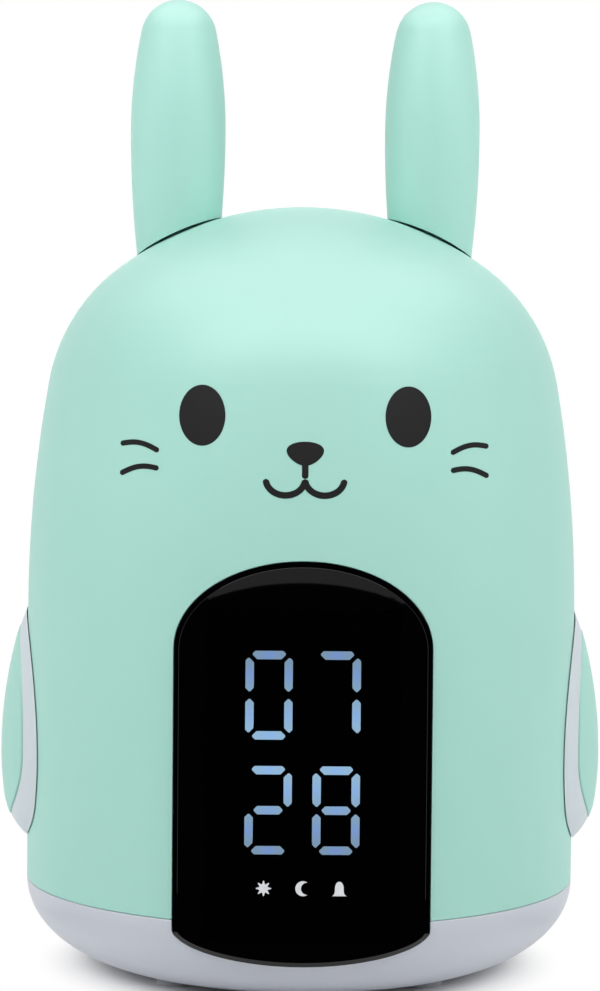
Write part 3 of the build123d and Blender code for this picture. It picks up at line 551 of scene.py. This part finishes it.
# The sun's rays, the radius between them and their reach
SUN_RAYS = 8
SUN_CORE = 0.85
SUN_REACH = 0.6

# The moon on a unit circle: its tips, the inner circle's middle, the centring shift and its size
MOON_TIP = 0.7 * pi
MOON_MIDDLE = 0.55
MOON_SHIFT = 0.2
MOON_SIZE = 1.4

# The bell's half height, half width, flare, the flare's fading, and the crown's start and blunt end
BELL_HEIGHT = 1.35
BELL_WIDTH = 0.8
BELL_FLARE = 0.55
BELL_FADE = 9.0
BELL_CROWN = 0.55
BELL_BLUNT = 0.004


def lit_mark(name, place, across, up):
    """A flat mark before an indicator guide, from grids of positions about the guide's middle."""
    depth = np.full_like(across, -GUIDE_FACE - MARK_LIFT)
    points = np.stack((across + INDICATOR_PITCH * place, depth, up + INDICATOR_HEIGHT), axis=-1)
    piece = grid_mesh(name, points.transpose(1, 0, 2), LIT)
    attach(piece, "housing")


def sun_mark():
    """A disc whose radius grows to a point eight times round, as rays: the square of a raised
    cosine."""
    wave = 0.5 + 0.5 * np.cos(SUN_RAYS * np.arctan2(disc_z, disc_x))
    radius = SUN_CORE + SUN_REACH * wave**2
    return disc_x * radius, disc_z * radius


def moon_mark():
    """A crescent: straight runs from an outer circle's arc to a smaller circle's arc between the
    same tips."""
    run = np.linspace(-0.99, 0.99, 49)
    tip_x = -np.cos(MOON_TIP) - MOON_MIDDLE
    tip_z = np.sin(MOON_TIP)
    outer = -np.exp(1j * run * MOON_TIP)
    inner_turn = pi - np.arctan2(tip_z, tip_x)
    inner = MOON_MIDDLE - np.hypot(tip_x, tip_z) * np.exp(1j * run * inner_turn)
    share = np.linspace(0, 1, 5)[:, None]
    sheet = MOON_SIZE * (outer + (inner - outer) * share + MOON_SHIFT)
    return sheet.real, sheet.imag


def bell_mark():
    """A bell: its half width flares at the rim and closes as a quarter circle at the crown."""
    rise = np.linspace(0, 1, 33)[:, None]
    over = np.maximum(rise - BELL_CROWN, 0) / (1 - BELL_CROWN)
    crown = np.sqrt(np.maximum(1 - over**2, BELL_BLUNT))
    half = (BELL_WIDTH + BELL_FLARE * np.exp(-BELL_FADE * rise)) * crown
    up = BELL_HEIGHT * (2 * rise - 1)
    return half * np.linspace(-1, 1, 9), np.repeat(up, 9, axis=1)


lit_mark("day_mark", -1, *sun_mark())
lit_mark("night_mark", 0, *moon_mark())
lit_mark("alarm_mark", 1, *bell_mark())

# Camera at the photograph's angle, a little to the left of the display's axis, in metres
CAMERA_DISTANCE = 0.550
CAMERA_HEIGHT = 0.1201
CAMERA_AZIMUTH = radians(0.55)
CAMERA_DIP = radians(2.71)
CAMERA_ROLL = radians(-0.5)
CAMERA_TURN = radians(0.07)
camera = bpy.data.objects.new("camera", bpy.data.cameras.new("camera"))
camera.data.sensor_width = 36.0
camera.data.lens = 99.0
camera.location = (
    -CAMERA_DISTANCE * np.sin(CAMERA_AZIMUTH),
    -CAMERA_DISTANCE * np.cos(CAMERA_AZIMUTH),
    CAMERA_HEIGHT,
)
camera.rotation_euler = (pi / 2 - CAMERA_DIP, CAMERA_ROLL, CAMERA_TURN - CAMERA_AZIMUTH)
bpy.context.scene.collection.objects.link(camera)
bpy.context.scene.camera = camera

# Soft boxes: place and aim in metres, width, height and power
SOFT_BOXES = {
    "top_fill": ((0.0, -0.10, 1.05), (0.0, 0.0, 0.12), 0.8, 0.8, 1.5),
    "front_left_fill": ((-0.65, -0.75, 0.85), (0.0, 0.0, 0.09), 0.5, 0.5, 6.0),
    "front_right_fill": ((0.65, -0.75, 0.85), (0.0, 0.0, 0.09), 0.5, 0.5, 6.0),
    "low_left_fill": ((-1.0, -0.20, 0.20), (0.0, 0.0, 0.05), 0.45, 0.6, 3.7),
    "low_right_fill": ((1.0, -0.20, 0.20), (0.0, 0.0, 0.05), 0.45, 0.6, 3.7),
    "back_fill": ((0.0, 1.2, 0.5), (0.0, 0.0, 0.09), 0.8, 0.6, 6.0),
    "front_sheen": ((0.0, -0.70, 0.95), (0.0, 0.0, 0.12), 2.2, 0.7, 21.0),
    "over_sheen": ((0.0, 0.10, 1.0), (0.0, 0.0, 0.12), 1.8, 0.9, 14.0),
}

# A fill lights the shade and leaves no streak; a sheen shows only as a soft reflection
for name, (place, aim, width, height, power) in SOFT_BOXES.items():
    light = bpy.data.lights.new(name, "AREA")
    light.shape = "RECTANGLE"
    light.size = width
    light.size_y = height
    light.energy = power
    lamp = bpy.data.objects.new(name, light)
    lamp.location = place
    lamp.rotation_euler = (Vector(aim) - Vector(place)).to_track_quat("-Z", "Y").to_euler()
    lamp.visible_glossy = not name.endswith("fill")
    lamp.visible_diffuse = not name.endswith("sheen")
    bpy.context.scene.collection.objects.link(lamp)

# A room that lights the object dimly and is plain white behind it
AMBIENT = 0.1
world = bpy.data.worlds.new("room")
bpy.context.scene.world = world
world.use_nodes = True
room = Wiring(world.node_tree)
walls = {"Color": WHITE, "Strength": room.direct_ray().between(AMBIENT, 1.0)}
room.feed(world.node_tree.nodes["Background"], walls)

# Floor: a square grid far wider than the view, turning white between two distances from the axis
FLOOR_HALF = 3000.0
FLOOR_LINES = 13
WHITE_OUT = (36.0, 54.0)


def white_floor(name):
    """Pale floor that takes the object's shadow near it and shows plain white further out."""
    sockets = {"Base Color": tint(240, 240, 241), "Roughness": 0.9, "Specular IOR Level": 0.0}
    finish = Finish(name, sockets)
    x, y, _ = finish.axes()
    reach = (x * x + y * y).root()
    share = finish.direct_ray() * reach.step_up(*WHITE_OUT)
    shaded = Wire(finish, finish.shader.outputs[0])
    white = finish.node("ShaderNodeEmission", {}, {"Color": WHITE})
    both = finish.node("ShaderNodeMixShader", {}, {0: share, 1: shaded, 2: white})
    finish.feed(finish.tree.nodes["Material Output"], {"Surface": both})
    return finish.material


floor_side = np.linspace(-FLOOR_HALF, FLOOR_HALF, FLOOR_LINES)
floor_y, floor_x = np.meshgrid(floor_side, floor_side)
floor_points = np.stack((floor_x, floor_y, np.zeros_like(floor_x)), axis=-1)
floor = grid_mesh("floor", floor_points, white_floor("floor"))

# Black card before the object, which only reflections see
CARD_HALF = 4500.0
CARD_DISTANCE = 2000.0
CARD_LIFT = 0.5
CARD_GAP = 64.0
CARD_TOP = 287.0
CARD_ARCH = 4.5e-5
CARD_LOWEST_TOP = 90.0
CARD_COLUMNS = 121
CARD_CROWDING = 6.0


def card_grid():
    """A sheet that lies flat from a circle round the clock to a far line, and stands there with
    an arched top. Its columns crowd towards the middle as a hyperbolic sine does."""
    run = np.linspace(-CARD_CROWDING, CARD_CROWDING, CARD_COLUMNS)
    across = CARD_HALF * np.sinh(run) / np.sinh(CARD_CROWDING)
    points = np.full((CARD_COLUMNS, 3, 3), CARD_LIFT)
    points[..., 0] = across[:, None]
    points[:, 0, 1] = -np.sqrt(np.maximum(CARD_GAP**2 - across**2, 0.0))
    points[:, 1:, 1] = -CARD_DISTANCE
    points[:, 2, 2] = np.maximum(CARD_TOP - CARD_ARCH * across**2, CARD_LOWEST_TOP)
    return points


card_sockets = {"Base Color": BLACK, "Roughness": 1.0, "Specular IOR Level": 0.0}
card = grid_mesh("black_card", card_grid(), Finish("black_card", card_sockets).material)
card.visible_camera = False
card.visible_diffuse = False
card.visible_shadow = False

bpy.context.scene.view_settings.view_transform = "Standard"
